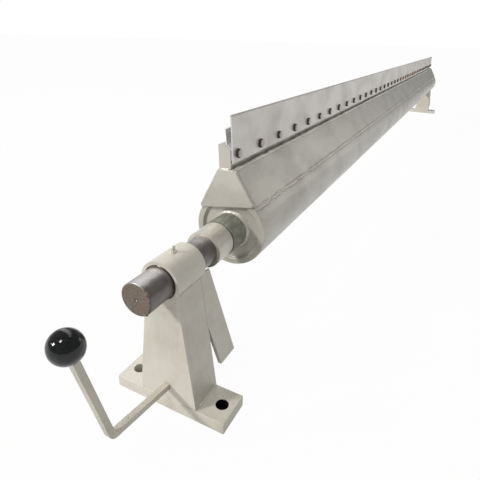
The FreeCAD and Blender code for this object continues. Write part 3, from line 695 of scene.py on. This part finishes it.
def places_in_row(node, apart):
    """The places along Y of the separate pieces in a node."""
    ends = sorted(vertex.co.y for vertex in frame["nodes"][node].data.vertices)
    groups = [[ends[0]]]
    for y in ends[1:]:
        if y - groups[-1][-1] > apart:
            groups.append([])
        groups[-1].append(y)
    return [(group[0] + group[-1]) / 2 for group in groups]


def hexagon_bolt(mesh, seat, out, up, turn):
    """Adds one bolt whose head sits on seat; the rings run from the head's round face to the shank's end."""
    along = out.cross(up)
    corner_radius = FLATS / math.sqrt(3)

    def ring(height, at_corner, at_flat):
        spots = []
        for step in range(12):
            angle = turn + step * math.pi / 6
            radius = at_flat if step % 2 else at_corner
            outwards = (up * math.cos(angle) + along * math.sin(angle)) * radius
            spots.append(mesh.verts.new(seat + out * height + outwards))
        return spots

    flat = FLATS / 2
    rings = [ring(HEAD, flat * 0.93, flat * 0.93), ring(HEAD - 0.4 * mm, flat * 1.01, flat * 0.985),
             ring(HEAD - 1.5 * mm, corner_radius, flat), ring(0, corner_radius, flat),
             ring(0, SHANK_RADIUS, SHANK_RADIUS), ring(-SHANK_LENGTH, SHANK_RADIUS, SHANK_RADIUS)]
    for first, second in zip(rings, rings[1:]):
        for step in range(12):
            following = (step + 1) % 12
            mesh.faces.new((first[step], second[step], second[following], first[following]))
    mesh.faces.new(rings[0])
    mesh.faces.new(list(reversed(rings[-1])))


head_face = max(vertex.co.dot(beam_out) for vertex in frame["nodes"]["clamp_bolts"].data.vertices)
heights = [vertex.co.dot(beam_up) for vertex in frame["nodes"]["clamp_bolts"].data.vertices]
row_height = (min(heights) + max(heights)) / 2
row = places_in_row("clamp_bolts", 20 * mm)
bolts = bmesh.new()
for number, y in enumerate(row):
    seat = beam_out * (head_face - HEAD) + beam_up * row_height + Vector((0, y, 0))
    hexagon_bolt(bolts, seat, beam_out, beam_up, math.radians((number * TURN_STEP) % 60))
bmesh.ops.recalc_face_normals(bolts, faces=bolts.faces)
bolt_row = show("clamp_bolt_row", bolts, "beam", "black_steel", smooth=False)
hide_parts("clamp_bolts")
print("made", len(row), "bolts,", round((row[1] - row[0]) / mm, 1), "mm apart")

# %% [markdown]
# ## The ball knob
# Half of what makes a polished ball look right is a smooth outline, so it is turned again from a fine
# profile: a ball with a flat seat, a small round where the two meet, and the hole for the lever's threaded
# end. The seat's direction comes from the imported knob, as the direction of its largest face.

# %% A turned ball
KNOB_RADIUS = 25 * mm
SEAT_DEPTH = 3 * mm
KNOB_HOLE_RADIUS = 5.1 * mm
HOLE_DEPTH = 24 * mm


def ball_profile():
    """Pairs of (distance above the middle, radius) from the top of the ball to the bottom of its hole."""
    seat = KNOB_RADIUS - SEAT_DEPTH
    steepest = math.acos(-seat / KNOB_RADIUS) - 0.05
    ball = [(KNOB_RADIUS * math.cos(steepest * step / 36), KNOB_RADIUS * math.sin(steepest * step / 36))
            for step in range(1, 37)]
    rim = math.sqrt(KNOB_RADIUS ** 2 - seat ** 2)
    return ball + [(-seat + 0.25 * mm, rim - 0.1 * mm), (-seat, rim - 0.9 * mm),
                   (-seat, KNOB_HOLE_RADIUS + 0.5 * mm), (-seat + 0.5 * mm, KNOB_HOLE_RADIUS),
                   (-seat + HOLE_DEPTH, KNOB_HOLE_RADIUS)]


knob = frame["nodes"]["lever_knob"].data
seat_way = max(knob.polygons, key=lambda face: face.area).normal.normalized()
knob_low, knob_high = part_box("lever_knob")
knob_middle = Vector((0, knob_low.y + KNOB_RADIUS, knob_high.z - KNOB_RADIUS))
sideways = Vector((1, 0, 0))
forwards = seat_way.cross(sideways)
ball = bmesh.new()
rounds = []
for height, radius in ball_profile():
    middle = knob_middle - seat_way * height
    rounds.append([ball.verts.new(middle + (sideways * math.cos(turn) + forwards * math.sin(turn)) * radius)
                   for turn in (math.pi * step / 32 for step in range(64))])
for first, second in zip(rounds, rounds[1:]):
    for step in range(64):
        following = (step + 1) % 64
        ball.faces.new((first[step], second[step], second[following], first[following]))
pole = ball.verts.new(knob_middle - seat_way * KNOB_RADIUS)
for step in range(64):
    ball.faces.new((pole, rounds[0][step], rounds[0][(step + 1) % 64]))
ball.faces.new(list(reversed(rounds[-1])))
bmesh.ops.recalc_face_normals(ball, faces=ball.faces)
round_knob = show("turned_knob", ball, "lever", "knob_plastic")
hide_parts("lever_knob")
print("knob middle", [round(value, 4) for value in knob_middle],
      "seat faces", [round(value, 3) for value in seat_way])

# %% [markdown]
# ## Burr on the shaft's end
# The shaft was cut off roughly, and hammering has turned over a torn rim on one side of its end face. A few
# short beads with strong swelling follow the rim there, in the shaft's own steel.

# %% Torn rim
RIM_RADIUS = 29.3 * mm
RIM_DEPTH = 0.8 * mm
TORN_ARCS = ((28, 46), (2, 22), (-34, -6), (-52, -40))

for number, (first, last) in enumerate(TORN_ARCS):
    spots = ring_about_shaft(RIM_RADIUS - RIM_DEPTH, near_shaft_low.y + 0.3 * mm, first, last, step=2)
    bead(f"torn_rim_{number + 1}", "beam", "bare_steel", spots, 2.4 * mm, 1.7 * mm, away_from_shaft(-0.6),
         rough=0.9, wander=3.0 * mm)
print("made", len(TORN_ARCS), "burrs on the rim")

# %% [markdown]
# ## Stage, light and camera
# The floor is plain and pale. A camera ray sees it as almost white, and only a very faint shadow is
# left on it. A dark sheet under each base plate is painted shade, so that its holes look dark from above.

# %% Floor and room
def stage_floor():
    finish = Finish("pale floor")
    path = {name: finish.node("ShaderNodeLightPath", output=name)
            for name in ("Is Camera Ray", "Is Glossy Ray", "Is Transmission Ray")}
    seen = path["Is Camera Ray"].most(path["Is Glossy Ray"]).most(path["Is Transmission Ray"])
    matt = finish.node("ShaderNodeBsdfDiffuse", values={"Color": colour(0.6, 0.59, 0.57)})
    glow = finish.node("ShaderNodeEmission", values={"Color": colour(1, 1, 1), "Strength": 1.0})
    both = finish.node("ShaderNodeMixShader", values={0: seen * 0.97, 1: matt, 2: glow})
    finish.node("ShaderNodeOutputMaterial", values={"Surface": both})
    mesh = bmesh.new()
    bmesh.ops.create_circle(mesh, cap_ends=True, segments=96, radius=60)
    floor = placed("floor", mesh, finish.material)
    floor.location = (0, (cad_low.y + cad_high.y) / 2, cad_low.z - 0.2 * mm)
    floor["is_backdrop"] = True


stage_floor()


def hole_shade_pad(end):
    """A thin dark sheet under a base plate, put there as painted shade so the holding-down holes look into
    the dark.
    """
    finish = Finish(f"{end} mat")
    blotches = finish.grain(0.01, 0.01, 0.01)
    shade = finish.tint(colour(0.01, 0.009, 0.008), colour(0.02, 0.018, 0.015), blotches)
    finish.surface(base_color=shade, roughness=0.9)
    low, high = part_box(f"{end}_base_plate")
    inset = 12 * mm
    mesh = bmesh.new()
    corners = [(low.x + inset, low.y + inset), (high.x - inset, low.y + inset),
               (high.x - inset, high.y - inset), (low.x + inset, high.y - inset)]
    mesh.faces.new([mesh.verts.new((x, y, cad_low.z - 0.1 * mm)) for x, y in corners])
    placed(f"{end}_mat", mesh, finish.material)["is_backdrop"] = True


hole_shade_pad("near")
hole_shade_pad("far")


# %% [markdown]
# The room itself gives a little light from every side. What the camera sees behind the object is plain
# white, but the light that falls on the object is much weaker.

# %% Room light
def room_light(ambient):
    """White where the camera looks, straight or through glass, and soft light for everything else."""
    finish = Finish("room", bpy.data.worlds)
    bpy.context.scene.world = finish.material
    straight = finish.node("ShaderNodeLightPath", output="Is Camera Ray")
    seen = straight.most(finish.node("ShaderNodeLightPath", output="Is Transmission Ray"))
    strength = finish.node("ShaderNodeMapRange", values={"Value": seen, "To Min": ambient, "To Max": 1.0})
    light = finish.node("ShaderNodeBackground", values={"Color": colour(1, 1, 1), "Strength": strength})
    finish.node("ShaderNodeOutputWorld", values={"Surface": light})


AMBIENT = 0.3
room_light(AMBIENT)
print("room light at", AMBIENT)


# %% [markdown]
# Four lamps light the object: a long softbox above and to the left of the beam, a weaker one beyond its far
# end, a small one over the near pedestal, and a soft sun from the front left that throws the lever's shadow.

# %% Lamps
def aimed_at(lamp, target):
    lamp.rotation_euler = (Vector(target) - lamp.location).to_track_quat("-Z", "Y").to_euler()


def softbox(name, place, target, width, height, watts, tone):
    light = bpy.data.lights.new(name, "AREA")
    light.shape = "RECTANGLE"
    light.size, light.size_y = width, height
    light.energy = watts
    light.color = tone
    lamp = bpy.data.objects.new(name, light)
    lamp.location = place
    bpy.context.scene.collection.objects.link(lamp)
    aimed_at(lamp, target)


def sunlight(name, direction, strength, spread, tone):
    light = bpy.data.lights.new(name, "SUN")
    light.energy = strength
    light.angle = math.radians(spread)
    light.color = tone
    lamp = bpy.data.objects.new(name, light)
    bpy.context.scene.collection.objects.link(lamp)
    aimed_at(lamp, direction)


beam_middle = middle_of("beam_tube")
softbox("overhead softbox", beam_middle + Vector((-1.6, 0, 2.4)), beam_middle, 1.4, 6.0, 52, (1, 0.99, 0.97))
softbox("far window", beam_middle + Vector((2.6, 3.6, 1.1)), beam_middle, 2.0, 1.6, 16, (1, 0.98, 0.95))
softbox("front ceiling lamp", Vector((-0.15, -1.25, 2.75)), Vector((0, 0, 0.05)), 0.5, 0.5, 26,
        (1, 0.97, 0.91))
sunlight("door light", (0.9, 1.0, -0.8), 2.3, 9, (1, 0.97, 0.93))

# %% [markdown]
# The camera stands a little to the right of the near pedestal, about as high as the head of someone who
# kneels, and looks down along the beam with a wide lens. Its pose is a heading, a tilt and a slight roll.

# %% Camera
def stand_camera(place, heading, tilt, roll, lens):
    camera = bpy.data.objects.new("camera", bpy.data.cameras.new("camera"))
    camera.data.lens = lens
    camera.data.sensor_width = 36
    camera.data.clip_start = 0.02
    camera.data.clip_end = 200
    turn = (Matrix.Rotation(math.radians(heading), 4, "Z") @ Matrix.Rotation(math.radians(tilt), 4, "X")
            @ Matrix.Rotation(math.radians(roll), 4, "Z"))
    camera.matrix_world = Matrix.Translation(place) @ turn
    bpy.context.scene.collection.objects.link(camera)
    bpy.context.scene.camera = camera


stand_camera(Vector((0.3773, -0.4948, 0.6576)), heading=26.9, tilt=63.67, roll=1.77, lens=31.03)
bpy.context.scene.view_settings.view_transform = "Standard"

# %% [markdown]
# ## Sizes
# The last step prints the box of the imported model and the box of what is shown, so the two can be
# compared.

# %% Sizes
low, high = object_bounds()
print("packed box", list(cad_low), list(cad_high))
print("shown box ", list(low), list(high))
